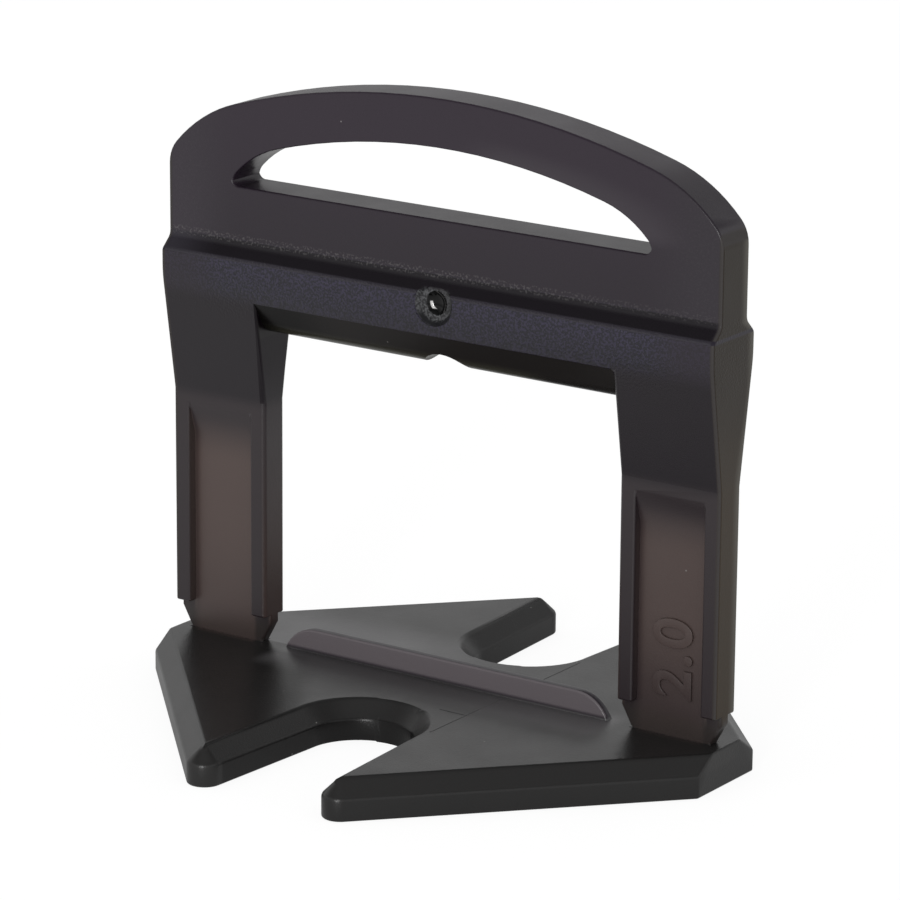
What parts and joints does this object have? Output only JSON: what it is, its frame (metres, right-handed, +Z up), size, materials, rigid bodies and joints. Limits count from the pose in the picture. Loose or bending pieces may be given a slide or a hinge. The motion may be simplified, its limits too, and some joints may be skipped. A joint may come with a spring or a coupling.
{
  "type": "tile levelling clip",
  "caption": "Moulded tile levelling clip: notched base plate, ribbed break-off legs and an arched pull handle, with a wedge window under a rounded crossbar.",
  "frame": {"origin": "middle of the base plate's underside", "axes": "+X along the arch from leg to leg, +Y across the frame, along the way a wedge goes through the window, +Z up from the plate to the handle"},
  "size_m": [0.0384, 0.0356, 0.037],
  "materials": {
    "plastic": "satin, spark-textured on the crossbar, smoother on the plate and legs"
  },
  "bodies": {
    "root": {"levelling_clip": "plastic"}
  },
  "joints": []
}
